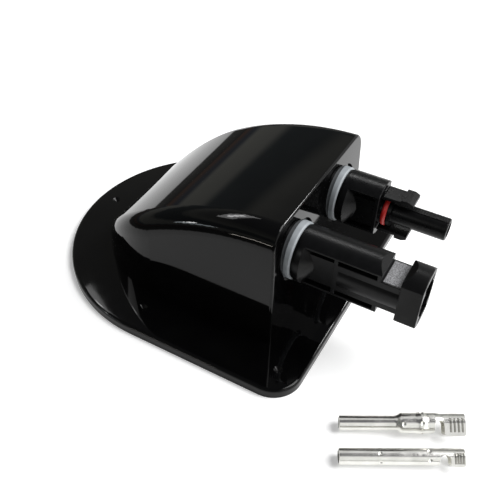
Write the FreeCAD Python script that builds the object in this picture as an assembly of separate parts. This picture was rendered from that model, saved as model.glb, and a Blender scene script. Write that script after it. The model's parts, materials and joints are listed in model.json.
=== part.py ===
import FreeCAD, Part
import math
import os

# Double cable-entry housing for a roof or cabin wall, with two panel-mounted photovoltaic
# connectors in its front wall and the two crimp contacts that belong to them.
# Frame: origin on the underside of the flange, at the middle of its length; +Z up; the
# connectors point along -Y. Millimetres throughout.

V = FreeCAD.Vector

# --- Housing -----------------------------------------------------------------------------
FLANGE_HALF_WIDTH = 52.5
FLANGE_LENGTH = 111.6
FLANGE_THICKNESS = 3.6
FLANGE_CORNER_RADIUS = 10.0
FLANGE_RIM_RADIUS = 1.1
FLANGE_FRONT_Y = -FLANGE_LENGTH / 2
FLANGE_ARC_Y = FLANGE_LENGTH / 2 - FLANGE_HALF_WIDTH

WALL_Y = -41.0               # outer face of the front wall at its foot
WALL_LEAN = 0.034            # front wall leans back by this much per mm of height
SIDE_DRAFT = 0.05            # side walls lean in by this much per mm of height
DOME_HALF_WIDTH = 35.7
DOME_HEIGHT = 48.2
DOME_ARC_Y = 6.0             # centre of the rounded back, seen from above
ROOF_RADIUS = 98.0           # the roof is one arc, level at the front edge
ROOF_EDGE_RADIUS = 7.0
FRONT_EDGE_RADIUS = 0.9
SHELL_WALL = 2.5
INNER_FRONT_Y = -37.4        # inner face of the front wall, upright so that nuts seat squarely
INNER_EDGE_RADIUS = 4.5
LOFT_LOW = -25.0
LOFT_HIGH = 60.0
DIMPLE_RADIUS = 1.5
DIMPLE_DEPTH = 1.1
DIMPLES = [(-43.2, -48.0), (43.2, -48.0), (-43.0, 4.5), (43.0, 4.5), (0.0, 48.6)]

# --- Connectors: shared sizes --------------------------------------------------------------
CONNECTOR_X = 17.0           # each axis stands this far from the middle
CONNECTOR_Z = 30.7
PIN_X = -CONNECTOR_X
SOCKET_X = CONNECTOR_X
WALL_HOLE_RADIUS = 8.15
SPOT_FACE_RADIUS = 10.8      # round recess that seats the gasket squarely in the leaning wall
SPOT_FACE_Y = -38.9
GASKET_RADIUS = 9.75
GASKET_EDGE_RADIUS = 0.8
GASKET_FRONT = 0.55          # depths are measured outwards from WALL_Y
COLLAR_FOOT_RADIUS = 9.15
COLLAR_FOOT_FRONT = 1.5
SHELL_RADIUS = 9.6
SOFT_EDGE = 0.25
SHELL_HALF_FLAT = 5.85
COLLAR_FRONT = 3.4
CONE_FRONT = 7.0
NECK_RADIUS = 5.2
NECK_HALF_WIDTH = 5.3
NECK_END = 14.0
WING_FLOOR = 6.9             # height of the wing's underside above the axis
WEB_THICKNESS = 1.3
BLOCK_HALF_HEIGHT = 5.3
BLOCK_BULGE_RADIUS = 6.6

# --- Behind the wall: depths are negative, into the housing ----------------------------------
STUB_RADIUS = 8.0
STUB_END = -10.4
GLAND_THREAD_RADIUS = 7.0
BODY_END = -18.0
THREAD_PITCH = 1.5
THREAD_DEPTH = 0.45
LOCK_NUT_FLATS = 22.0
LOCK_NUT_THICKNESS = 5.0
THREAD_CLEARANCE = 0.05
SEAL_RADIUS = 4.9
SEAL_SEAT = -11.0
SEAL_END = -17.6
CABLE_RADIUS = 3.0
WIRE_BORE_RADIUS = 3.75
CROWN_FACE = -18.15
CROWN_END = -24.0
GLAND_NUT_FLATS = 17.0
GLAND_NUT_START = -12.2
GLAND_NUT_END = -26.0

# --- Pin-side connector: wide shell -----------------------------------------------------------
PIN_SHELL_WING_END = 28.5
PIN_SHELL_NOTCH_END = 34.6
PIN_SHELL_LENGTH = 41.4
PIN_SHELL_END_RADIUS = 9.7
PIN_SHELL_RIB = 13.4
PIN_BLOCK_START = 14.6
NOTCH_STEP_TOP = 7.9         # the notch's ends stand upright to here, then flare outwards
NOTCH_FLARE_RUN = 2.1        # how far the flare has opened at the shell's ridge
MATING_BORE_RADIUS = 4.15
MATING_BORE_FLOOR = 16.0
MOUTH_RADIUS = 6.0
MOUTH_DEPTH = 5.0
CHANNEL_HALF_WIDTH = 4.3
CHANNEL_TOP = 7.45

# --- Socket-side connector: narrow nose and two latch fingers -----------------------------------
SOCKET_PLATE_START = 13.2
SOCKET_PLATE_FRONT = 14.5
HUB_RADIUS = 5.2
HUB_FRONT = 18.7
RING_CENTRE = 16.5
RING_MINOR_RADIUS = 0.95
RING_MAJOR_RADIUS = 4.75
RING_GROOVE_RADIUS = 3.8
NOSE_RADIUS = 3.9
NOSE_LENGTH = 37.8
NOSE_FLAT_HEIGHT = 3.72        # two narrow flats run along the nose, above and below
NOSE_GROOVE_X = 1.3
NOSE_GROOVE_WIDTH = 0.3
CONTACT_BORE_RADIUS = 2.65
CLIP_START = 6.2
CLIP_END = 10.8
CLIP_INNER_RADIUS = 2.75
FINGER_HALF_WIDTH = 3.6
FINGER_BOTTOM = 6.0
FINGER_TOP = 7.3
FINGER_START = 15.2          # the finger's root is a half-round about its bending axis
FINGER_END = 25.5
HOOK_START = 21.2
HOOK_TOP = 8.1

# --- Crimp contacts, lying in front of the housing ------------------------------------------------
SHEET_THICKNESS = 0.55
CONTACT_ROLL = -55.0         # how far each contact has rolled over as it lies
SERRATIONS = 4
SERRATION_WIDTH = 0.62
SERRATION_DEPTH = 0.34
SERRATION_PLAIN_SHARE = 0.3  # share of each wing that stays plain, along its free edge
SERRATION_WRAP = 30.0        # how far round the barrel each groove runs, past the wing
SERRATION_LEAD = 1.5         # pitches from the crimp's inner end to the first groove
SERRATION_TAIL = 0.9         # pitches from the last groove to the outer end
GROOVE_OVERCUT = 0.2
CRIMP_CORNER_RADIUS = 0.9
DIMPLE_BALL_RADIUS = 0.9
DENT_DEPTH = 0.3
MOUTH_EDGE = 0.2
SEAM_WIDTH = 0.14
STRIP_SHARE = 0.26           # height of the joining strip's edges, as a share of the radius

PIN_LENGTH = 36.7
PIN_TIP_RADIUS = 2.2
PIN_FLARE_START = 16.2
PIN_FLARE_END = 18.8
PIN_COLLAR_RADIUS = 3.1
PIN_BEAD_RADIUS = 3.35
PIN_BEAD_CENTRE = 24.2
PIN_BEAD_HALF_WIDTH = 1.9
PIN_COLLAR_END = 27.7
PIN_CRIMP_START = 30.6
PIN_CRIMP_RADIUS = 2.85
PIN_CRIMP_WING = 3.7
PIN_BEAD_DENTS = (6, 31.0)      # how many, and angle of the first
PIN_FLARE_DENTS = (3, 95.0)
PIN_TIP = (-50.9, -72.3)
PIN_TAIL = (-33.7, -105.3)

TUBE_LENGTH = 35.7
TUBE_RADIUS = 2.4
TUBE_END = 28.4
TUBE_CRIMP_START = 31.7
TUBE_CRIMP_WING = 2.6
TUBE_DENT_COUNT = 6
TUBE_DENTS = [(11.7, 6.0), (25.7, 46.0)]    # place along the tube, and angle of the first
TUBE_TIP = (-61.2, -76.7)
TUBE_TAIL = (-43.9, -108.6)
SPRING_START = 2.0
SPRING_LENGTH = 9.0
SPRING_THICKNESS = 0.25
SPRING_SLOTS = 8
SPRING_SLOT_WIDTH = 0.35
SPRING_BAND = 1.3            # plain ring at each end of the sleeve
SPRING_GAP = 0.03


# --- Helpers ------------------------------------------------------------------------------------
def rod(x, z, low, high, radius, end_radius=None):
    """A round bar (or cone) along -Y between two depths outside the wall plane."""
    start = V(x, WALL_Y - low, z)
    if end_radius is None:
        return Part.makeCylinder(radius, high - low, start, V(0, -1, 0))
    return Part.makeCone(radius, end_radius, high - low, start, V(0, -1, 0))


def slab(x, z, half_width, low, high, bottom, top):
    """A box centred on x, between two depths and two heights above the connector axis."""
    corner = V(x - half_width, WALL_Y - high, z + bottom)
    return Part.makeBox(2 * half_width, high - low, top - bottom, corner)


def pair(shape, z):
    """The shape and its mirror image below the connector axis."""
    return shape.fuse(shape.mirror(V(0, 0, z), V(0, 0, 1)))


def join(shapes):
    return shapes[0].multiFuse(shapes[1:]).removeSplitter()


def cut_all(shape, tools):
    return shape.cut(tools[0].multiFuse(tools[1:])) if len(tools) > 1 else shape.cut(tools[0])


def hexagon_bar(x, z, low, high, flats):
    """A hexagonal bar along -Y, with a flat at the top, and its corners rounded off by a cone."""
    corner = flats / math.sqrt(3)
    points = []
    for i in range(7):
        angle = math.radians(60 * i)
        points.append(V(x + corner * math.cos(angle), WALL_Y - low, z + corner * math.sin(angle)))
    bar = Part.Face(Part.makePolygon(points)).extrude(V(0, low - high, 0))
    bevel = 1.0
    ends = rod(x, z, low, low + bevel, corner - bevel, corner)
    ends = ends.fuse(rod(x, z, low + bevel, high - bevel, corner))
    ends = ends.fuse(rod(x, z, high - bevel, high, corner, corner - bevel))
    return bar.common(ends)


def thread_grooves(x, z, low, high, radius):
    """V-shaped rings that stand for a thread's roots on a stub of this radius."""
    rings = []
    count = int((high - low) / THREAD_PITCH)
    half = 0.32 * THREAD_PITCH
    for i in range(count):
        mid = low + (i + 0.5) * THREAD_PITCH
        root = radius - THREAD_DEPTH
        points = [
            V(x + root, WALL_Y - mid, z),
            V(x + radius + 0.1, WALL_Y - mid + half, z),
            V(x + radius + 0.1, WALL_Y - mid - half, z),
            V(x + root, WALL_Y - mid, z),
        ]
        face = Part.Face(Part.makePolygon(points))
        rings.append(face.revolve(V(x, 0, z), V(0, 1, 0), 360))
    return rings


def soften(shape, radius, keep_behind=None):
    """Rounds every edge of a simple shape, apart from those wholly behind a depth."""
    edges = []
    for edge in shape.Edges:
        if keep_behind is None or edge.BoundBox.YMin < WALL_Y - keep_behind - 0.01:
            edges.append(edge)
    return shape.makeFillet(radius, edges)


def save(node, shape):
    shape.exportStep("parts/" + node + ".step")
    box = shape.BoundBox
    print(node, len(shape.Solids), shape.isValid(), round(shape.Volume, 1),
          [round(value, 2) for value in (box.XMin, box.YMin, box.ZMin, box.XMax, box.YMax, box.ZMax)])


# --- Housing ------------------------------------------------------------------------------------
def u_outline(half_width, front_y, arc_y, height):
    """A flat outline, straight in front and at the sides and round at the back."""
    left_front = V(-half_width, front_y, height)
    right_front = V(half_width, front_y, height)
    right_back = V(half_width, arc_y, height)
    left_back = V(-half_width, arc_y, height)
    back = V(0, arc_y + half_width, height)
    return Part.Wire([
        Part.LineSegment(left_front, right_front).toShape(),
        Part.LineSegment(right_front, right_back).toShape(),
        Part.Arc(right_back, back, left_back).toShape(),
        Part.LineSegment(left_back, left_front).toShape(),
    ])


def dome(offset, front_y, front_lean, edge_radius):
    """The drafted dome, its roof arc and its rounded roof edge, shrunk by offset all round."""
    wires = []
    for height in (LOFT_LOW, LOFT_HIGH):
        half_width = DOME_HALF_WIDTH - offset - SIDE_DRAFT * height
        wires.append(u_outline(half_width, front_y + front_lean * height, DOME_ARC_Y, height))
    body = Part.makeLoft(wires, True, True)
    reach = 2 * ROOF_RADIUS
    roof = Part.makeCylinder(ROOF_RADIUS - offset, reach,
                             V(-ROOF_RADIUS, WALL_Y, DOME_HEIGHT - ROOF_RADIUS), V(1, 0, 0))
    body = body.common(roof)
    roof_edges = []
    for edge in body.Edges:
        box = edge.BoundBox
        on_roof = box.ZMax > DOME_HEIGHT - ROOF_EDGE_RADIUS - offset or box.YMax > DOME_ARC_Y + 1
        along_front = box.YMax < front_y + 3
        upright = box.ZMin < LOFT_LOW / 2 and box.XLength < 4
        flat = box.ZLength < 0.01
        if on_roof and not (along_front or upright or flat):
            roof_edges.append(edge)
    return body.makeFillet(edge_radius, roof_edges)


def housing_shell():
    outer = dome(0.0, WALL_Y, WALL_LEAN, ROOF_EDGE_RADIUS)
    front_edges = [edge for edge in outer.Edges
                   if edge.BoundBox.YMax < WALL_Y + WALL_LEAN * DOME_HEIGHT + 0.2
                   and edge.BoundBox.ZMax > 0]
    outer = outer.makeFillet(FRONT_EDGE_RADIUS, front_edges)
    size = 4 * FLANGE_HALF_WIDTH
    outer = outer.common(Part.makeBox(size, size, size, V(-size / 2, -size / 2, 0)))

    outline = u_outline(FLANGE_HALF_WIDTH, FLANGE_FRONT_Y, FLANGE_ARC_Y, 0)
    flange = Part.Face(outline).extrude(V(0, 0, FLANGE_THICKNESS))
    corners = [edge for edge in flange.Edges
               if edge.BoundBox.ZLength > 1 and edge.BoundBox.YMax < FLANGE_FRONT_Y + 1]
    flange = flange.makeFillet(FLANGE_CORNER_RADIUS, corners)
    rim = [edge for edge in flange.Edges if edge.BoundBox.ZMin > FLANGE_THICKNESS - 0.01]
    flange = flange.makeFillet(FLANGE_RIM_RADIUS, rim)

    cavity = dome(SHELL_WALL, INNER_FRONT_Y, 0.0, INNER_EDGE_RADIUS)
    shell = outer.fuse(flange).removeSplitter().cut(cavity)
    tools = []
    for x in (PIN_X, SOCKET_X):
        tools.append(rod(x, CONNECTOR_Z, -6, 6, WALL_HOLE_RADIUS))
        tools.append(rod(x, CONNECTOR_Z, WALL_Y - SPOT_FACE_Y, 3, SPOT_FACE_RADIUS))
    for x, y in DIMPLES:
        tools.append(Part.makeCone(0.15, DIMPLE_RADIUS, DIMPLE_DEPTH,
                                   V(x, y, FLANGE_THICKNESS - DIMPLE_DEPTH + 0.001), V(0, 0, 1)))
    return cut_all(shell, tools)


# --- Connector pieces shared by both sides --------------------------------------------------------
def flatted_disc(x, low, high, radius):
    """A disc across the axis with its two sides cut flat."""
    disc = rod(x, CONNECTOR_Z, low, high, radius)
    return disc.common(slab(x, CONNECTOR_Z, SHELL_HALF_FLAT, low, high, -radius, radius))


def wings(x, high):
    """The two curved plates above and below the connector's core."""
    low = COLLAR_FRONT - 0.4
    disc = flatted_disc(x, low, high, SHELL_RADIUS)
    half = slab(x, CONNECTOR_Z, SHELL_HALF_FLAT + 1, 0, high + 1, WING_FLOOR, SHELL_RADIUS + 1)
    return pair(soften(disc.common(half), SOFT_EDGE, low), CONNECTOR_Z)


def cross_plate(x, low, high):
    """A thin plate of the shell's full section, joining the wings across the core."""
    return soften(flatted_disc(x, low, high, SHELL_RADIUS), 0.6 * SOFT_EDGE)


def root(x):
    """Everything from the wall outwards to the neck, and the threaded stub behind the wall."""
    neck_box = slab(x, CONNECTOR_Z, NECK_HALF_WIDTH, COLLAR_FRONT, NECK_END, -NECK_RADIUS, NECK_RADIUS)
    solid = join([
        rod(x, CONNECTOR_Z, BODY_END, STUB_END, GLAND_THREAD_RADIUS),
        rod(x, CONNECTOR_Z, STUB_END, GASKET_FRONT, STUB_RADIUS),
        rod(x, CONNECTOR_Z, GASKET_FRONT, COLLAR_FOOT_FRONT, COLLAR_FOOT_RADIUS),
        soften(rod(x, CONNECTOR_Z, COLLAR_FOOT_FRONT, COLLAR_FRONT, SHELL_RADIUS), 0.4 * SOFT_EDGE),
        rod(x, CONNECTOR_Z, COLLAR_FRONT, CONE_FRONT, SHELL_RADIUS - 0.2, NECK_RADIUS),
        rod(x, CONNECTOR_Z, COLLAR_FRONT, NECK_END, NECK_RADIUS),
        neck_box,
    ])
    grooves = thread_grooves(x, CONNECTOR_Z, STUB_END + 0.3, -1.2, STUB_RADIUS)
    grooves += thread_grooves(x, CONNECTOR_Z, BODY_END + 0.3, STUB_END - 0.3, GLAND_THREAD_RADIUS)
    return solid, grooves


def wire_way(x):
    """The hollow that the cable and its contact are pushed into from inside the housing."""
    return [
        rod(x, CONNECTOR_Z, BODY_END - 1, SEAL_SEAT, SEAL_RADIUS + 0.05),
        rod(x, CONNECTOR_Z, SEAL_SEAT, CLIP_END + 0.2, WIRE_BORE_RADIUS),
        rod(x, CONNECTOR_Z, CLIP_END, MATING_BORE_FLOOR + 0.5, CONTACT_BORE_RADIUS),
    ]


def wall_gasket(x):
    """A soft ring seated in the wall's round recess, under the collar."""
    back = WALL_Y - SPOT_FACE_Y
    ring = rod(x, CONNECTOR_Z, back, GASKET_FRONT, GASKET_RADIUS)
    rim = [edge for edge in ring.Edges if edge.BoundBox.YMax < WALL_Y]
    ring = ring.makeFillet(GASKET_EDGE_RADIUS, rim)
    return ring.cut(rod(x, CONNECTOR_Z, back - 1, GASKET_FRONT + 1, STUB_RADIUS + THREAD_CLEARANCE))


def lock_nut(x):
    inner = WALL_Y - INNER_FRONT_Y
    nut = hexagon_bar(x, CONNECTOR_Z, inner - LOCK_NUT_THICKNESS, inner - 0.01, LOCK_NUT_FLATS)
    return nut.cut(rod(x, CONNECTOR_Z, -20, 0, STUB_RADIUS + THREAD_CLEARANCE))


def cable_seal(x):
    """A rubber bush with three lips that grips the cable."""
    bush = rod(x, CONNECTOR_Z, SEAL_END, SEAL_SEAT - 0.02, SEAL_RADIUS)
    tools = [rod(x, CONNECTOR_Z, SEAL_END - 1, SEAL_SEAT + 1, CABLE_RADIUS)]
    for i in range(3):
        middle = SEAL_SEAT - 1.6 - 1.7 * i
        ring = Part.makeTorus(SEAL_RADIUS + 0.25, 0.55, V(x, WALL_Y - middle, CONNECTOR_Z), V(0, 1, 0))
        tools.append(ring)
    return cut_all(bush, tools)


def contact_clip(x):
    """A split ring with four tangs, inside the body, that a contact snaps into."""
    ring = rod(x, CONNECTOR_Z, CLIP_START, CLIP_END, WIRE_BORE_RADIUS - 0.05)
    tools = [rod(x, CONNECTOR_Z, CLIP_START - 1, CLIP_END + 1, CLIP_INNER_RADIUS)]
    for i in range(4):
        slot = Part.makeBox(0.7, CLIP_END - CLIP_START - 1.4, 6.0,
                            V(x - 0.35, WALL_Y - CLIP_END - 0.001, CONNECTOR_Z))
        slot.rotate(V(x, 0, CONNECTOR_Z), V(0, 1, 0), 45 + 90 * i)
        tools.append(slot)
    return cut_all(ring, tools)


def clamp_crown(x):
    """A ring with sprung teeth that the gland nut closes on the cable."""
    flange = rod(x, CONNECTOR_Z, CROWN_FACE - 1.4, CROWN_FACE, GLAND_THREAD_RADIUS - 0.45)
    teeth = rod(x, CONNECTOR_Z, CROWN_END, CROWN_FACE - 1.4, 4.5, 5.5)
    solid = flange.fuse(teeth)
    tools = [rod(x, CONNECTOR_Z, CROWN_END - 1, CROWN_FACE + 1, CABLE_RADIUS + 0.2)]
    for i in range(4):
        slot = Part.makeBox(20, -CROWN_END + CROWN_FACE - 2.2, 1.0,
                            V(x - 10, WALL_Y - CROWN_FACE + 2.2, CONNECTOR_Z - 0.5))
        slot.rotate(V(x, 0, CONNECTOR_Z), V(0, 1, 0), 22.5 + 45 * i)
        tools.append(slot)
    return cut_all(solid, tools)


def gland_nut(x):
    """A hexagonal cap, threaded inside, with a cone that closes the crown."""
    nut = hexagon_bar(x, CONNECTOR_Z, -22.5, GLAND_NUT_START, GLAND_NUT_FLATS)
    nut = nut.fuse(rod(x, CONNECTOR_Z, GLAND_NUT_END, -22.5, 5.8, 7.6)).removeSplitter()
    return cut_all(nut, [
        rod(x, CONNECTOR_Z, -20.0, GLAND_NUT_START + 1, GLAND_THREAD_RADIUS + THREAD_CLEARANCE),
        rod(x, CONNECTOR_Z, CROWN_END - 0.4, -20.0, 4.75, 5.85),
        rod(x, CONNECTOR_Z, GLAND_NUT_END - 1, -20.0, CABLE_RADIUS + 0.6),
    ])


# --- Pin-side connector ----------------------------------------------------------------------------
def notch_flare(x):
    """The wedge that opens the latch notch outwards above its two upright ends."""
    top = SHELL_RADIUS + 1
    run = NOTCH_FLARE_RUN * (top - NOTCH_STEP_TOP) / (SHELL_RADIUS - NOTCH_STEP_TOP)
    outline = [
        (PIN_SHELL_WING_END, NOTCH_STEP_TOP),
        (PIN_SHELL_NOTCH_END, NOTCH_STEP_TOP),
        (PIN_SHELL_NOTCH_END + run, top),
        (PIN_SHELL_WING_END - run, top),
        (PIN_SHELL_WING_END, NOTCH_STEP_TOP),
    ]
    corners = [V(x - SHELL_RADIUS, WALL_Y - depth, CONNECTOR_Z + height) for depth, height in outline]
    return Part.Face(Part.makePolygon(corners)).extrude(V(2 * SHELL_RADIUS, 0, 0))


def pin_side_body():
    x = PIN_X
    base, grooves = root(x)
    between = slab(x, CONNECTOR_Z, 9, 0, PIN_SHELL_LENGTH, -BLOCK_HALF_HEIGHT, BLOCK_HALF_HEIGHT)
    block = slab(x, CONNECTOR_Z, SHELL_HALF_FLAT, PIN_BLOCK_START, PIN_SHELL_LENGTH - 1,
                 -BLOCK_HALF_HEIGHT, BLOCK_HALF_HEIGHT)
    long_edges = [edge for edge in block.Edges if edge.BoundBox.YLength > 5]
    end = rod(x, CONNECTOR_Z, PIN_SHELL_NOTCH_END, PIN_SHELL_LENGTH, PIN_SHELL_END_RADIUS).common(
        slab(x, CONNECTOR_Z, BLOCK_BULGE_RADIUS, 0, PIN_SHELL_LENGTH + 1, -12, 12))
    solid = join([
        base,
        wings(x, PIN_SHELL_WING_END),
        soften(end, SOFT_EDGE),
        block.makeFillet(SOFT_EDGE, long_edges),
        rod(x, CONNECTOR_Z, PIN_BLOCK_START + 0.6, PIN_SHELL_LENGTH - 1, BLOCK_BULGE_RADIUS).common(between),
        rod(x, CONNECTOR_Z, PIN_BLOCK_START - 1.2, PIN_BLOCK_START + 0.3,
            NECK_RADIUS, SHELL_HALF_FLAT - 0.1).common(between),
        cross_plate(x, PIN_SHELL_RIB, PIN_SHELL_RIB + WEB_THICKNESS),
        cross_plate(x, PIN_SHELL_WING_END - WEB_THICKNESS, PIN_SHELL_WING_END),
    ])
    channel = slab(x, CONNECTOR_Z, CHANNEL_HALF_WIDTH, PIN_SHELL_NOTCH_END - 0.5,
                   PIN_SHELL_LENGTH + 1, BLOCK_HALF_HEIGHT, CHANNEL_TOP)
    tools = wire_way(x) + grooves
    tools += [
        rod(x, CONNECTOR_Z, MATING_BORE_FLOOR, PIN_SHELL_LENGTH + 1, MATING_BORE_RADIUS),
        rod(x, CONNECTOR_Z, PIN_SHELL_LENGTH - MOUTH_DEPTH, PIN_SHELL_LENGTH + 1, MOUTH_RADIUS),
        pair(channel, CONNECTOR_Z),
        pair(notch_flare(x), CONNECTOR_Z),
    ]
    return cut_all(solid, tools)


# --- Socket-side connector ---------------------------------------------------------------------------
def socket_side_body():
    x = SOCKET_X
    base, grooves = root(x)
    plate = cross_plate(x, SOCKET_PLATE_START, SOCKET_PLATE_FRONT)
    hub = rod(x, CONNECTOR_Z, PIN_BLOCK_START - 0.2, HUB_FRONT, HUB_RADIUS)
    nose = rod(x, CONNECTOR_Z, HUB_FRONT - 1, NOSE_LENGTH, NOSE_RADIUS)
    rim = [edge for edge in nose.Edges if abs(edge.BoundBox.YMin - (WALL_Y - NOSE_LENGTH)) < 0.01
           and edge.BoundBox.YLength < 0.01]
    nose = nose.makeFillet(0.6, rim)
    solid = join([base, wings(x, SOCKET_PLATE_FRONT), plate, hub, nose])
    tools = wire_way(x) + grooves
    groove = rod(x, CONNECTOR_Z, RING_CENTRE - RING_MINOR_RADIUS, RING_CENTRE + RING_MINOR_RADIUS,
                 HUB_RADIUS + 2)
    groove = groove.cut(rod(x, CONNECTOR_Z, 0, NOSE_LENGTH, RING_GROOVE_RADIUS - 0.02))
    tools.append(groove)
    tools.append(rod(x, CONNECTOR_Z, MATING_BORE_FLOOR, NOSE_LENGTH + 1, CONTACT_BORE_RADIUS))
    flat = slab(x, CONNECTOR_Z, NOSE_GROOVE_X, HUB_FRONT, NOSE_LENGTH + 1, NOSE_FLAT_HEIGHT, HUB_RADIUS)
    tools.append(pair(flat, CONNECTOR_Z))
    for groove_x in (-NOSE_GROOVE_X, NOSE_GROOVE_X):
        line = slab(x + groove_x, CONNECTOR_Z, NOSE_GROOVE_WIDTH / 2, HUB_FRONT + 0.6, NOSE_LENGTH + 1,
                    NOSE_FLAT_HEIGHT - 0.35, HUB_RADIUS)
        tools.append(pair(line, CONNECTOR_Z))
    return cut_all(solid, tools)


def nose_seal():
    centre = V(SOCKET_X, WALL_Y - RING_CENTRE, CONNECTOR_Z)
    return Part.makeTorus(RING_MAJOR_RADIUS, RING_MINOR_RADIUS - 0.02, centre, V(0, 1, 0))


def latch_finger():
    """The upper finger: a sprung strip with a raised hook at its free end."""
    x = SOCKET_X
    strip = slab(x, CONNECTOR_Z, FINGER_HALF_WIDTH, FINGER_START, FINGER_END, FINGER_BOTTOM, FINGER_TOP)
    points = [
        V(x - FINGER_HALF_WIDTH, WALL_Y - HOOK_START, CONNECTOR_Z + FINGER_TOP - 0.2),
        V(x - FINGER_HALF_WIDTH, WALL_Y - HOOK_START, CONNECTOR_Z + HOOK_TOP),
        V(x - FINGER_HALF_WIDTH, WALL_Y - FINGER_END + 1.6, CONNECTOR_Z + HOOK_TOP),
        V(x - FINGER_HALF_WIDTH, WALL_Y - FINGER_END, CONNECTOR_Z + FINGER_TOP),
        V(x - FINGER_HALF_WIDTH, WALL_Y - FINGER_END, CONNECTOR_Z + FINGER_TOP - 0.2),
        V(x - FINGER_HALF_WIDTH, WALL_Y - HOOK_START, CONNECTOR_Z + FINGER_TOP - 0.2),
    ]
    hook = Part.Face(Part.makePolygon(points)).extrude(V(2 * FINGER_HALF_WIDTH, 0, 0))
    middle = (FINGER_BOTTOM + FINGER_TOP) / 2
    root_end = Part.makeCylinder(FINGER_TOP - middle, 2 * FINGER_HALF_WIDTH,
                                 V(x - FINGER_HALF_WIDTH, WALL_Y - FINGER_START, CONNECTOR_Z + middle),
                                 V(1, 0, 0))
    finger = strip.fuse(hook).fuse(root_end).removeSplitter()
    edges = [edge for edge in finger.Edges
             if edge.BoundBox.YLength > 3 and edge.BoundBox.ZMin > CONNECTOR_Z + FINGER_TOP - 0.1
             and edge.BoundBox.XLength < 0.01]
    return finger.makeChamfer(0.25, edges)


# --- Contacts ------------------------------------------------------------------------------------
# Each is built along +X from its tip, with the strip that joins barrel and crimp on top.
def s_curve(start, end):
    """Two tangent arcs that leave and arrive level, from one (x, radius) point to the other."""
    run = end[0] - start[0]
    rise = end[1] - start[1]
    radius = (run * run + rise * rise) / (4 * abs(rise))
    side = 1 if rise > 0 else -1
    half_turn = math.asin(run / (2 * radius)) / 2
    arcs = []
    for point, away, sign in ((start, 1, 1), (end, -1, -1)):
        mid_x = point[0] + away * radius * math.sin(half_turn)
        mid_r = point[1] + sign * side * radius * (1 - math.cos(half_turn))
        arcs.append(V(mid_x, 0, mid_r))
    centre = V((start[0] + end[0]) / 2, 0, (start[1] + end[1]) / 2)
    return [Part.Arc(V(start[0], 0, start[1]), arcs[0], centre).toShape(),
            Part.Arc(centre, arcs[1], V(end[0], 0, end[1])).toShape()]


def rolled(stations, smooth):
    """A solid of revolution about X through (x, radius) stations; smooth steps are S-curves."""
    edges = []
    for i in range(len(stations) - 1):
        start = stations[i]
        end = stations[i + 1]
        if i in smooth:
            edges += s_curve(start, end)
        else:
            edges.append(Part.LineSegment(V(start[0], 0, start[1]), V(end[0], 0, end[1])).toShape())
    first = stations[0]
    last = stations[-1]
    corners = [V(last[0], 0, last[1]), V(last[0], 0, 0), V(first[0], 0, 0), V(first[0], 0, first[1])]
    for i in range(3):
        edges.append(Part.LineSegment(corners[i], corners[i + 1]).toShape())
    face = Part.Face(Part.Wire(edges))
    return face.revolve(V(0, 0, 0), V(1, 0, 0), 360)


def shrink(stations):
    inner = [(x, radius - SHEET_THICKNESS) for x, radius in stations]
    inner[0] = (stations[0][0] - 0.01, inner[0][1])
    inner[-1] = (stations[-1][0] + 0.01, inner[-1][1])
    return inner


def d_bar(low, high, radius, wing):
    """A bar whose section is a half circle on top of a rectangle."""
    bar = Part.makeCylinder(radius, high - low, V(low, 0, 0), V(1, 0, 0))
    return bar.fuse(Part.makeBox(high - low, 2 * radius, wing, V(low, -radius, -wing))).cut(
        Part.makeBox(high - low, 2 * radius, 2 * radius, V(low, -radius, -wing - 2 * radius)))


def serration(middle, radius, length):
    """A V groove that runs up one wing of a crimp and on round the side of its barrel."""
    top = radius + GROOVE_OVERCUT
    half = SERRATION_WIDTH / 2 * (SERRATION_DEPTH + GROOVE_OVERCUT) / SERRATION_DEPTH
    corners = [V(middle - half, top, 0), V(middle + half, top, 0), V(middle, radius - SERRATION_DEPTH, 0)]
    section = Part.Face(Part.makePolygon(corners + corners[:1]))
    along_wing = section.extrude(V(0, 0, -length))
    return along_wing.fuse(section.revolve(V(0, 0, 0), V(1, 0, 0), SERRATION_WRAP)).removeSplitter()


def crimp(low, high, radius, wing):
    """An open U of sheet, with serrations pressed across its outside."""
    inner_radius = radius - SHEET_THICKNESS
    u_shape = d_bar(low, high, radius, wing).cut(d_bar(low - 1, high + 1, inner_radius, wing + 1))
    corners = [edge for edge in u_shape.Edges
               if edge.BoundBox.ZMax < 0.01 - wing and edge.BoundBox.XLength < 0.01]
    u_shape = u_shape.makeFillet(CRIMP_CORNER_RADIUS, corners)
    pitch = (high - low) / (SERRATIONS - 1 + SERRATION_LEAD + SERRATION_TAIL)
    tools = []
    for i in range(SERRATIONS):
        middle = low + (i + SERRATION_LEAD) * pitch
        groove = serration(middle, radius, (1 - SERRATION_PLAIN_SHARE) * wing)
        tools += [groove, groove.mirror(V(0, 0, 0), V(0, 1, 0))]
    return cut_all(u_shape, tools)


def cut_away(low, high, radius):
    """The gap, arched at its top, that leaves only a strip between barrel and crimp."""
    arch = (high - low) / 2
    top = STRIP_SHARE * radius
    gap = Part.makeBox(high - low, 4 * radius, 4 * radius, V(low, -2 * radius, top - arch - 4 * radius))
    return gap.fuse(Part.makeCylinder(arch, 4 * radius, V(low + arch, -2 * radius, top - arch), V(0, 1, 0)))


def dents(x, radius, count, start):
    """Small round dents pressed into a tube all round it at one station."""
    balls = []
    for i in range(count):
        ball = Part.makeSphere(DIMPLE_BALL_RADIUS, V(x, 0, radius + DIMPLE_BALL_RADIUS - DENT_DEPTH))
        ball.rotate(V(0, 0, 0), V(1, 0, 0), start + 360.0 * i / count)
        balls.append(ball)
    return balls


def seam(low, high, radius):
    """The slit underneath, where a rolled tube's two edges meet."""
    return Part.makeBox(high - low, SEAM_WIDTH, radius + 1, V(low, -SEAM_WIDTH / 2, -radius - 1))


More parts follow.
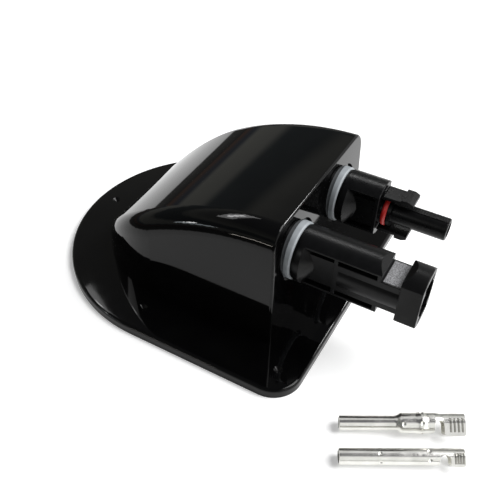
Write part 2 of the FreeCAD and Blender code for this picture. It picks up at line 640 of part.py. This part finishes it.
def rolled_tube(stations, smooth):
    outer = rolled(stations, smooth)
    mouth = [edge for edge in outer.Edges if edge.BoundBox.XMax < 0.01]
    outer = outer.makeFillet(MOUTH_EDGE, mouth)
    return outer.cut(rolled(shrink(stations), smooth))


def on_the_ground(shape, length, tip, tail, tip_radius, crimp_radius, wing):
    """Rolls a contact over, tips it so that both ends rest on the ground, and places it."""
    roll = math.radians(CONTACT_ROLL)
    drop = crimp_radius * math.sin(-roll) + wing * math.cos(roll)
    pitch = math.degrees(math.asin((drop - tip_radius) / length))
    heading = math.degrees(math.atan2(tail[1] - tip[1], tail[0] - tip[0]))
    placed = shape.copy()
    placed.rotate(V(0, 0, 0), V(1, 0, 0), CONTACT_ROLL)
    placed.rotate(V(0, 0, 0), V(0, 1, 0), -pitch)
    placed.rotate(V(0, 0, 0), V(0, 0, 1), heading)
    placed.translate(V(tip[0], tip[1], 0))
    placed.translate(V(0, 0, 0.02 - placed.optimalBoundingBox(False).ZMin))
    return placed


def pin_contact():
    bead_low = PIN_BEAD_CENTRE - PIN_BEAD_HALF_WIDTH
    bead_high = PIN_BEAD_CENTRE + PIN_BEAD_HALF_WIDTH
    stations = [
        (0, PIN_TIP_RADIUS),
        (PIN_FLARE_START, PIN_TIP_RADIUS),
        (PIN_FLARE_END, PIN_COLLAR_RADIUS),
        (bead_low, PIN_COLLAR_RADIUS),
        (PIN_BEAD_CENTRE, PIN_BEAD_RADIUS),
        (bead_high, PIN_COLLAR_RADIUS),
        (PIN_COLLAR_END, PIN_COLLAR_RADIUS),
        (PIN_CRIMP_START, PIN_CRIMP_RADIUS),
    ]
    tube = rolled_tube(stations, (1, 3, 4, 6))
    tools = [cut_away(PIN_COLLAR_END, PIN_CRIMP_START, PIN_COLLAR_RADIUS)]
    tools.append(seam(-1, PIN_COLLAR_END, PIN_COLLAR_RADIUS))
    tools += dents(PIN_BEAD_CENTRE, PIN_BEAD_RADIUS, *PIN_BEAD_DENTS)
    tools += dents(PIN_FLARE_END, PIN_COLLAR_RADIUS, *PIN_FLARE_DENTS)
    end = crimp(PIN_CRIMP_START, PIN_LENGTH, PIN_CRIMP_RADIUS, PIN_CRIMP_WING)
    return join([cut_all(tube, tools), end])


def socket_contact():
    tube = rolled_tube([(0, TUBE_RADIUS), (TUBE_CRIMP_START, TUBE_RADIUS)], ())
    tools = [cut_away(TUBE_END, TUBE_CRIMP_START, TUBE_RADIUS)]
    tools.append(seam(-1, TUBE_END, TUBE_RADIUS))
    for place, first in TUBE_DENTS:
        tools += dents(place, TUBE_RADIUS, TUBE_DENT_COUNT, first)
    end = crimp(TUBE_CRIMP_START, TUBE_LENGTH, TUBE_RADIUS, TUBE_CRIMP_WING)
    return join([cut_all(tube, tools), end])


def contact_spring():
    """The louvred sleeve inside the socket contact that presses on the pin."""
    outer_radius = TUBE_RADIUS - SHEET_THICKNESS - SPRING_GAP
    start = V(SPRING_START, 0, 0)
    outer = Part.makeCylinder(outer_radius, SPRING_LENGTH, start, V(1, 0, 0))
    sleeve = outer.cut(Part.makeCylinder(outer_radius - SPRING_THICKNESS, SPRING_LENGTH, start, V(1, 0, 0)))
    slot_start = V(SPRING_START + SPRING_BAND, -SPRING_SLOT_WIDTH / 2, 0)
    tools = []
    for i in range(SPRING_SLOTS):
        slot = Part.makeBox(SPRING_LENGTH - 2 * SPRING_BAND, SPRING_SLOT_WIDTH, TUBE_RADIUS, slot_start)
        slot.rotate(V(0, 0, 0), V(1, 0, 0), (i + 0.5) * 360.0 / SPRING_SLOTS)
        tools.append(slot)
    return cut_all(sleeve, tools)


# --- Build ---------------------------------------------------------------------------------------
os.makedirs("parts", exist_ok=True)
save("housing_shell", housing_shell())
for side, side_x in (("pin_side", PIN_X), ("socket_side", SOCKET_X)):
    save(side + "_wall_gasket", wall_gasket(side_x))
    save(side + "_lock_nut", lock_nut(side_x))
    save(side + "_contact_clip", contact_clip(side_x))
    save(side + "_cable_seal", cable_seal(side_x))
    save(side + "_clamp_crown", clamp_crown(side_x))
    save(side + "_gland_nut", gland_nut(side_x))
save("pin_side_body", pin_side_body())
save("socket_side_body", socket_side_body())
save("nose_seal", nose_seal())
save("latch_finger_upper", latch_finger())
save("latch_finger_lower", latch_finger().mirror(V(0, 0, CONNECTOR_Z), V(0, 0, 1)))
save("pin_contact", on_the_ground(pin_contact(), PIN_LENGTH, PIN_TIP, PIN_TAIL,
                                  PIN_TIP_RADIUS, PIN_CRIMP_RADIUS, PIN_CRIMP_WING))
socket_pieces = Part.makeCompound([socket_contact(), contact_spring()])
socket_pieces = on_the_ground(socket_pieces, TUBE_LENGTH, TUBE_TIP, TUBE_TAIL,
                              TUBE_RADIUS, TUBE_RADIUS, TUBE_CRIMP_WING)
save("socket_contact", socket_pieces.Solids[0])
save("socket_contact_spring", socket_pieces.Solids[1])
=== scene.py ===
import json
import math

import bpy
from mathutils import Matrix, Vector


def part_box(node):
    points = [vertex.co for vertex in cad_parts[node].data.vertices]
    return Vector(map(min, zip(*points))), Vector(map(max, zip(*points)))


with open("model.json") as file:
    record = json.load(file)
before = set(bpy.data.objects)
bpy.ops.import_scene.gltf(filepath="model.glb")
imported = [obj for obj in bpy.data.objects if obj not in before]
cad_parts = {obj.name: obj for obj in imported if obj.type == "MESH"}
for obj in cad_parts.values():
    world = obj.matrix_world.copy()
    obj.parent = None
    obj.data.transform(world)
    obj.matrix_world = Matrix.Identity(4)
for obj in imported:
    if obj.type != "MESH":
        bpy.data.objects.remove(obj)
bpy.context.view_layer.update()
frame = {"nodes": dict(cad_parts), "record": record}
nodes = frame["nodes"]
subparts = frame["record"]["subparts"]
MM = 0.001

# --- Camera ------------------------------------------------------------------------------
# Azimuth 0 looks from the front (-Y) and 90 from +X; distances and the aim are in metres.
CAMERA_AZIMUTH = math.radians(-62.0)
CAMERA_ELEVATION = math.radians(42.5)
CAMERA_ROLL = math.radians(1.72)
CAMERA_DISTANCE = 0.2328
CAMERA_AIM = Vector((-0.0147, -0.0214, 0.0200))
CAMERA_LENS = 49.15
CAMERA_NEAR = 0.01
CAMERA_FAR = 20


def make_camera():
    """A camera at the photograph's viewing angle, rolled a little about its line of sight."""
    azimuth, elevation, roll = CAMERA_AZIMUTH, CAMERA_ELEVATION, CAMERA_ROLL
    back = Vector((math.sin(azimuth) * math.cos(elevation),
                   -math.cos(azimuth) * math.cos(elevation),
                   math.sin(elevation)))
    level = Vector((math.cos(azimuth), math.sin(azimuth), 0))
    upright = back.cross(level)
    right = level * math.cos(roll) + upright * math.sin(roll)
    up = upright * math.cos(roll) - level * math.sin(roll)
    data = bpy.data.cameras.new("camera")
    data.lens = CAMERA_LENS
    data.clip_start = CAMERA_NEAR
    data.clip_end = CAMERA_FAR
    camera = bpy.data.objects.new("camera", data)
    bpy.context.scene.collection.objects.link(camera)
    camera.matrix_world = Matrix((
        (right.x, up.x, back.x, 0),
        (right.y, up.y, back.y, 0),
        (right.z, up.z, back.z, 0),
        (0, 0, 0, 1),
    ))
    camera.location = CAMERA_AIM + back * CAMERA_DISTANCE
    bpy.context.scene.camera = camera


make_camera()


# --- Materials -----------------------------------------------------------------------------
MASK_EDGE = 0.1 * MM      # width of the soft edge of a masked patch


class Nodes:
    """A short way to write a procedural material."""

    def __init__(self, name):
        self.material = bpy.data.materials.new(name)
        self.material.use_nodes = True
        self.tree = self.material.node_tree
        self.shader = self.tree.nodes["Principled BSDF"]
        self.position = self.add("ShaderNodeTexCoord").outputs["Object"]

    def add(self, kind, **settings):
        node = self.tree.nodes.new(kind)
        for key, value in settings.items():
            setattr(node, key, value)
        return node

    def link(self, source, target):
        self.tree.links.new(source, target)

    def constant(self, **values):
        for key, value in values.items():
            self.shader.inputs[key.replace("_", " ")].default_value = value

    def noise(self, scale, detail):
        node = self.add("ShaderNodeTexNoise")
        node.inputs["Scale"].default_value = scale
        node.inputs["Detail"].default_value = detail
        self.link(self.position, node.inputs["Vector"])
        return node.outputs["Fac"]

    def remap(self, source, low, high, new_low, new_high):
        node = self.add("ShaderNodeMapRange")
        for key, value in zip(("From Min", "From Max", "To Min", "To Max"),
                              (low, high, new_low, new_high)):
            node.inputs[key].default_value = value
        self.link(source, node.inputs["Value"])
        return node.outputs["Result"]

    def mix_colour(self, factor, first, second):
        """Each colour is a tuple or a node's output."""
        node = self.add("ShaderNodeMix", data_type="RGBA")
        for key, colour in (("A", first), ("B", second)):
            if isinstance(colour, tuple):
                node.inputs[key].default_value = (*colour, 1)
            else:
                self.link(colour, node.inputs[key])
        self.link(factor, node.inputs["Factor"])
        return node.outputs["Result"]

    def arithmetic(self, operation, first, second):
        node = self.add("ShaderNodeMath", operation=operation)
        self.link(first, node.inputs[0])
        self.link(second, node.inputs[1])
        return node.outputs["Value"]

    def vector(self, operation, source, other=(0, 0, 0)):
        node = self.add("ShaderNodeVectorMath", operation=operation)
        self.link(source, node.inputs[0])
        node.inputs[1].default_value = other
        return node.outputs["Vector"]

    def inside_pair(self, middle, half, height):
        """1 on a patch at a height above the middle and on its mirror image below, else 0."""
        aside = self.vector("ABSOLUTE", self.vector("SUBTRACT", self.position, middle))
        beyond = self.vector("ABSOLUTE", self.vector("SUBTRACT", aside, (0, 0, height)))
        beyond = self.vector("SUBTRACT", beyond, half)
        split = self.add("ShaderNodeSeparateXYZ")
        self.link(beyond, split.inputs["Vector"])
        furthest = split.outputs["X"]
        for axis in "YZ":
            furthest = self.arithmetic("MAXIMUM", furthest, split.outputs[axis])
        return self.remap(furthest, -MASK_EDGE, 0, 1, 0)

    def bump(self, height, distance, after=None):
        node = self.add("ShaderNodeBump")
        node.inputs["Distance"].default_value = distance
        node.inputs["Strength"].default_value = 1.0
        self.link(height, node.inputs["Height"])
        if after:
            self.link(after, node.inputs["Normal"])
        return node.outputs["Normal"]

    def finish(self, colour, roughness=None, normal=None):
        for source, key in ((colour, "Base Color"), (roughness, "Roughness"), (normal, "Normal")):
            if source:
                self.link(source, self.shader.inputs[key])
        return self.material


# The share of a noise's range that is spread over a look's two colours or roughnesses.
NOISE_SPAN = (0.3, 0.7)

# Each look has a tone, a sheen and a grain, as the scale and detail of the noise behind them.
# The tone runs between two colours, the sheen between two roughnesses (over a span of its own
# where one is given), and the grain is a bump of the stated height.
LOOKS = {
    "housing_gloss": dict(
        tone=(90, 2), colours=((0.0010, 0.0010, 0.0011), (0.0017, 0.0017, 0.0018)),
        sheen=(240, 4), roughness=(0.03, 0.06), sheen_span=(0.35, 0.75),
        grain=(70, 1), grain_height=0.010 * MM, IOR=1.27),
    "connector_plastic": dict(
        tone=(420, 3), colours=((0.0022, 0.0023, 0.0025), (0.0038, 0.0039, 0.0042)),
        sheen=(600, 4), roughness=(0.25, 0.34),
        grain=(3000, 2), grain_height=0.016 * MM, IOR=1.25),
    "nut_plastic": dict(
        tone=(300, 3), colours=((0.008, 0.008, 0.0085), (0.014, 0.014, 0.0145)),
        sheen=(500, 4), roughness=(0.38, 0.52),
        grain=(3600, 2), grain_height=0.010 * MM),
    "crown_grey": dict(
        tone=(300, 3), colours=((0.26, 0.27, 0.28), (0.33, 0.34, 0.35)),
        sheen=(500, 4), roughness=(0.40, 0.55),
        grain=(3600, 2), grain_height=0.010 * MM),
    "gasket_grey": dict(
        tone=(350, 4), colours=((0.28, 0.30, 0.32), (0.34, 0.365, 0.385)),
        sheen=(900, 3), roughness=(0.40, 0.54),
        grain=(2600, 3), grain_height=0.010 * MM),
    "seal_black": dict(
        tone=(350, 4), colours=((0.012, 0.012, 0.012), (0.02, 0.02, 0.02)),
        sheen=(900, 3), roughness=(0.45, 0.6),
        grain=(2600, 3), grain_height=0.010 * MM),
    "seal_red": dict(
        tone=(350, 4), colours=((0.36, 0.006, 0.005), (0.44, 0.010, 0.007)),
        sheen=(900, 3), roughness=(0.36, 0.48),
        grain=(2600, 3), grain_height=0.010 * MM),
    "contact_tin": dict(
        tone=(260, 3), colours=((0.66, 0.655, 0.62), (0.78, 0.775, 0.74)),
        sheen=(900, 3), roughness=(0.17, 0.24),
        grain=(700, 2), grain_height=0.006 * MM, Metallic=1.0),
    "spring_steel": dict(
        tone=(700, 4), colours=((0.50, 0.50, 0.49), (0.62, 0.62, 0.60)),
        sheen=(1600, 4), roughness=(0.25, 0.38),
        grain=(2400, 3), grain_height=0.010 * MM, Metallic=1.0),
}

# The pin-side shell's latch notches have a rougher floor, a little inside their edges, whose pale
# speckle is painted sheen.
NOTCH_FROM_END = 9.7 * MM
NOTCH_HEIGHT = 5.3 * MM
PATCH_HALF = (5.2 * MM, 2.8 * MM, 0.1 * MM)
PATCH_SPECK = (3400, 2)
PATCH_SPECK_SPAN = (0.35, 0.65)
PATCH_PAINTED_SHEEN_COLOURS = ((0.10, 0.10, 0.105), (0.30, 0.30, 0.31))
PATCH_ROUGHNESS = (0.30, 0.6)      # beside the patch, and on it

# The nose has a narrow ladder of fine cross ribs along its top and bottom.
RIB_PITCH = 0.9 * MM
RIB_SCALE = 0.314 / RIB_PITCH      # a wave texture repeats every pi / 10 of its scaled units
RIB_HEIGHT = 0.05 * MM
RIB_HALF_WIDTH = 1.25 * MM
RIB_LOW = 3.55 * MM                # heights from the connector's axis, just in and out of the flat
RIB_HIGH = 3.85 * MM


def make_material(name, tone, colours, sheen, roughness, grain, grain_height,
                  sheen_span=NOISE_SPAN, patch=None, ribs=None, **constants):
    """A look under its own name; a patch adds notch floors with a painted sheen, and ribs the
    ladder.
    """
    m = Nodes(name)
    m.constant(**constants)
    colour = m.mix_colour(m.remap(m.noise(*tone), *NOISE_SPAN, 0, 1), *colours)
    normal = m.bump(m.noise(*grain), grain_height)
    if patch:
        rough_and_painted_sheen = m.inside_pair(*patch)
        speck = m.remap(m.noise(*PATCH_SPECK), *PATCH_SPECK_SPAN, 0, 1)
        # On the patch the pale speckled colour is a painted sheen; its higher roughness is the
        # texture's own.
        colour = m.mix_colour(rough_and_painted_sheen, colour, m.mix_colour(speck, *PATCH_PAINTED_SHEEN_COLOURS))
        rough = m.remap(rough_and_painted_sheen, 0, 1, *PATCH_ROUGHNESS)
    else:
        rough = m.remap(m.noise(*sheen), *sheen_span, *roughness)
    if ribs:
        ladder = m.add("ShaderNodeTexWave", bands_direction="Y")
        ladder.inputs["Scale"].default_value = RIB_SCALE
        m.link(m.position, ladder.inputs["Vector"])
        height = m.arithmetic("MULTIPLY", m.inside_pair(*ribs), ladder.outputs["Fac"])
        normal = m.bump(height, RIB_HEIGHT, after=normal)
    return m.finish(colour, rough, normal)


def notch_patch():
    """The floor of the notch above, and of its mirror image below."""
    low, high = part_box("pin_side_body")
    middle = ((low[0] + high[0]) / 2, low[1] + NOTCH_FROM_END, (low[2] + high[2]) / 2)
    return middle, PATCH_HALF, NOTCH_HEIGHT


def rib_strip(low_node, high_node, half_width, low_height, high_height):
    """The strip of ribs, and its mirror image, between two heights from the connector's axis."""
    low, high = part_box(low_node)
    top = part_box(high_node)[1]
    axis = (low[2] + high[2]) / 2
    middle = ((low[0] + high[0]) / 2, (low[1] + top[1]) / 2, axis)
    half = (half_width, (top[1] - low[1]) / 2, (high_height - low_height) / 2)
    return middle, half, (low_height + high_height) / 2


def paint(piece, material):
    piece.data.materials.clear()
    piece.data.materials.append(material)


materials = {slot: make_material(slot, **look) for slot, look in LOOKS.items()}
for subpart in subparts:
    paint(nodes[subpart["node"]], materials[subpart["material_slot"]])

nose_ribs = rib_strip("socket_side_body", "nose_seal", RIB_HALF_WIDTH, RIB_LOW, RIB_HIGH)
black = LOOKS["connector_plastic"]
paint(nodes["pin_side_body"],
      make_material("connector_plastic_notched", patch=notch_patch(), **black))
paint(nodes["socket_side_body"],
      make_material("connector_plastic_nose", ribs=nose_ribs, **black))


# --- Floor ---------------------------------------------------------------------------------
FLOOR_REACH = 4.0
# The floor's colour is a painted pool of light: white round the object, painted darker further off
# as shade.
FLOOR_WHITE = (0.92, 0.92, 0.92)
FLOOR_PAINTED_SHADE_FAR = (0.07, 0.068, 0.065)
FLOOR_ROUGHNESS = 0.9
FLOOR_SPECULAR = 0.1
# The floor also glows with its own colour: painted light that fills in the shadows.
FLOOR_GLOW = 0.3
POOL_CENTRE = (0.093, 0.038, 0.0)
POOL_RADIUS = 0.222
POOL_FADE = 0.04


def make_floor():
    """A floor painted as a pool of light, white round the object and darker further off, glowing
    weakly as painted light.
    """
    mesh = bpy.data.meshes.new("floor")
    r = FLOOR_REACH
    mesh.from_pydata([(-r, -r, 0), (r, -r, 0), (r, r, 0), (-r, r, 0)], [], [(0, 1, 2, 3)])
    floor = bpy.data.objects.new("floor", mesh)
    bpy.context.scene.collection.objects.link(floor)
    m = Nodes("floor")
    m.constant(Roughness=FLOOR_ROUGHNESS, Specular_IOR_Level=FLOOR_SPECULAR,
               Emission_Strength=FLOOR_GLOW)
    away = m.add("ShaderNodeVectorMath", operation="DISTANCE")
    away.inputs[1].default_value = POOL_CENTRE
    m.link(m.position, away.inputs[0])
    fade = m.add("ShaderNodeMapRange", interpolation_type="SMOOTHSTEP")
    fade.inputs["From Min"].default_value = POOL_RADIUS
    fade.inputs["From Max"].default_value = POOL_RADIUS + POOL_FADE
    m.link(away.outputs["Value"], fade.inputs["Value"])
    # The painted pool of light, used both as the floor's colour and as its glow.
    colour = m.mix_colour(fade.outputs["Result"], FLOOR_WHITE, FLOOR_PAINTED_SHADE_FAR)
    m.link(colour, m.shader.inputs["Emission Color"])
    mesh.materials.append(m.finish(colour))


make_floor()


# --- Studio --------------------------------------------------------------------------------
# The studio's colour at each height, by the sine of the elevation.
STUDIO_BANDS = (
    (0.00, (0.15, 0.10, 0.08)), (0.06, (0.09, 0.10, 0.12)), (0.11, (0.34, 0.34, 0.31)),
    (0.23, (0.38, 0.38, 0.35)), (0.30, (0.11, 0.125, 0.13)), (0.45, (0.12, 0.135, 0.14)),
    (0.53, (0.37, 0.37, 0.34)), (0.66, (0.24, 0.24, 0.23)), (0.78, (0.14, 0.14, 0.15)),
    (1.00, (0.14, 0.14, 0.15)),
)

# The glow's strength by the cosine of the angle from its side of the studio.
GLOW_SIDE = (0.469, -0.883, 0.0)
GLOW_RANGE = {"From Min": 0.25, "From Max": 0.6, "To Min": 0.0, "To Max": 0.9}


def make_world():
    """A dim studio with soft horizontal bands, and a wide soft glow from the front right."""
    world = bpy.data.worlds.new("studio")
    world.use_nodes = True
    tree = world.node_tree
    background = tree.nodes["Background"]
    way = tree.nodes.new("ShaderNodeTexCoord").outputs["Generated"]
    split = tree.nodes.new("ShaderNodeSeparateXYZ")
    tree.links.new(way, split.inputs["Vector"])
    ramp = tree.nodes.new("ShaderNodeValToRGB")
    ramp.color_ramp.interpolation = "EASE"
    stops = ramp.color_ramp.elements
    while len(stops) < len(STUDIO_BANDS):
        stops.new(0.5)
    for stop, (height, colour) in zip(stops, STUDIO_BANDS):
        stop.position = height
        stop.color = (*colour, 1)
    tree.links.new(split.outputs["Z"], ramp.inputs["Fac"])
    side = tree.nodes.new("ShaderNodeVectorMath")
    side.operation = "DOT_PRODUCT"
    side.inputs[1].default_value = GLOW_SIDE
    tree.links.new(way, side.inputs[0])
    glow = tree.nodes.new("ShaderNodeMapRange")
    glow.interpolation_type = "SMOOTHSTEP"
    for key, value in GLOW_RANGE.items():
        glow.inputs[key].default_value = value
    tree.links.new(side.outputs["Value"], glow.inputs["Value"])
    total = tree.nodes.new("ShaderNodeVectorMath")
    total.operation = "ADD"
    tree.links.new(ramp.outputs["Color"], total.inputs[0])
    tree.links.new(glow.outputs["Result"], total.inputs[1])
    tree.links.new(total.outputs["Vector"], background.inputs["Color"])
    bpy.context.scene.world = world


def direction(azimuth, elevation):
    """A unit vector towards an azimuth and elevation in degrees, as for the camera."""
    a, e = math.radians(azimuth), math.radians(elevation)
    return Vector((math.sin(a) * math.cos(e), -math.cos(a) * math.cos(e), math.sin(e)))


LAMP_AIM = Vector((0, -0.02, 0.03))


def softbox(name, distance, azimuth, elevation, size, radiance, colour):
    """A flat lamp that faces the object; its brightness is given, not its power."""
    data = bpy.data.lights.new(name, "AREA")
    data.shape = "RECTANGLE"
    data.size, data.size_y = size
    data.energy = radiance * math.pi * size[0] * size[1]
    data.color = colour
    light = bpy.data.objects.new(name, data)
    bpy.context.scene.collection.objects.link(light)
    light.location = LAMP_AIM + direction(azimuth, elevation) * distance
    light.rotation_euler = (-direction(azimuth, elevation)).to_track_quat("-Z", "Y").to_euler()
    return light


# Each lamp: azimuth, elevation, width and height in metres, radiance, colour.
WHITE = (1, 1, 1)
KEY_DISTANCE = 1.4
KEY_LAMP = (29, 51, (1.0, 1.0), 7.5, WHITE)

# The other lamps are flagged off, so that each lights one set of pieces.
LAMP_DISTANCE = 1.2
HOUSING_LAMPS = {
    "edge_box": (54, 35, (0.18, 0.18), 60, WHITE),
    "ridge_lamp": (166, 50, (0.42, 0.05), 22, WHITE),
    "ridge_glow": (166, 50, (0.80, 0.16), 5, WHITE),
    "left_spot": (-139, 16, (0.07, 0.07), 40, WHITE),
    "left_glow": (-135, 13, (0.34, 0.08), 7, (0.85, 0.95, 1.0)),
    "left_strip": (-113, 1, (0.22, 0.03), 25, (1.0, 0.93, 0.85)),
}
CONNECTOR_LAMPS = {
    "top_box": (108, 46, (0.26, 0.16), 14, WHITE),
    "flank_box": (-114, 31, (0.26, 0.16), 12, WHITE),
}
CONTACT_LAMPS = {
    "contact_low_sky": (141, 24, (1.6, 0.9), 0.60, WHITE),
    "contact_high_sky": (141, 66, (1.6, 0.8), 0.60, WHITE),
    "contact_front": (-39, 28, (1.6, 1.2), 0.85, WHITE),
}


def light_only(set_name, slots, lamps):
    """Lamps that light the pieces with these material slots, and nothing else."""
    lit = bpy.data.collections.new(set_name)
    for subpart in subparts:
        if subpart["material_slot"] in slots:
            lit.objects.link(nodes[subpart["node"]])
    for name, lamp in lamps.items():
        light = softbox(name, LAMP_DISTANCE, *lamp)
        light.visible_camera = False
        light.light_linking.receiver_collection = lit


make_world()
softbox("key", KEY_DISTANCE, *KEY_LAMP)
light_only("housing_only", ("housing_gloss",), HOUSING_LAMPS)
light_only("connectors_only", ("connector_plastic", "seal_black", "seal_red"), CONNECTOR_LAMPS)
light_only("contacts_only", ("contact_tin", "spring_steel"), CONTACT_LAMPS)

bpy.context.scene.view_settings.view_transform = "Standard"
